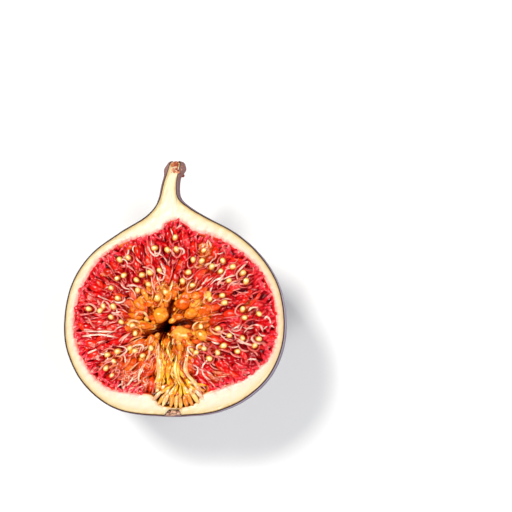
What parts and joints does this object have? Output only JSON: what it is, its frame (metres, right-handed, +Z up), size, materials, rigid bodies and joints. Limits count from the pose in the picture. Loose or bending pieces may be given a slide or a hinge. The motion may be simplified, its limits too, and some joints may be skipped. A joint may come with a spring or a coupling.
{
  "type": "fresh fig half",
  "caption": "Half of a fresh purple fig lying on its back, its cut face showing cream flesh round red pulp with seeds, a heart cavity and an amber throat.",
  "frame": {"origin": "under the middle of the fruit, on the surface that it lies on", "axes": "+Y from the eye at the blunt end to the stem, +Z up out of the cut face, +X to the right seen from above"},
  "size_m": [0.0544, 0.0624, 0.0287],
  "materials": {
    "skin": "thin waxy purple skin with a dusty bloom, satin",
    "flesh": "moist cream flesh, satin",
    "pulp": "wet crimson florets, glossy",
    "heart": "wet amber lumps, folds and bracts, glossy",
    "seed": "hard pale yellow seeds, glossy",
    "strand": "moist pale pink strands, satin",
    "stem": "dry brown cut of the stem, matte"
  },
  "bodies": {
    "root": {"rind": "skin", "pulp": "pulp"}
  },
  "joints": []
}
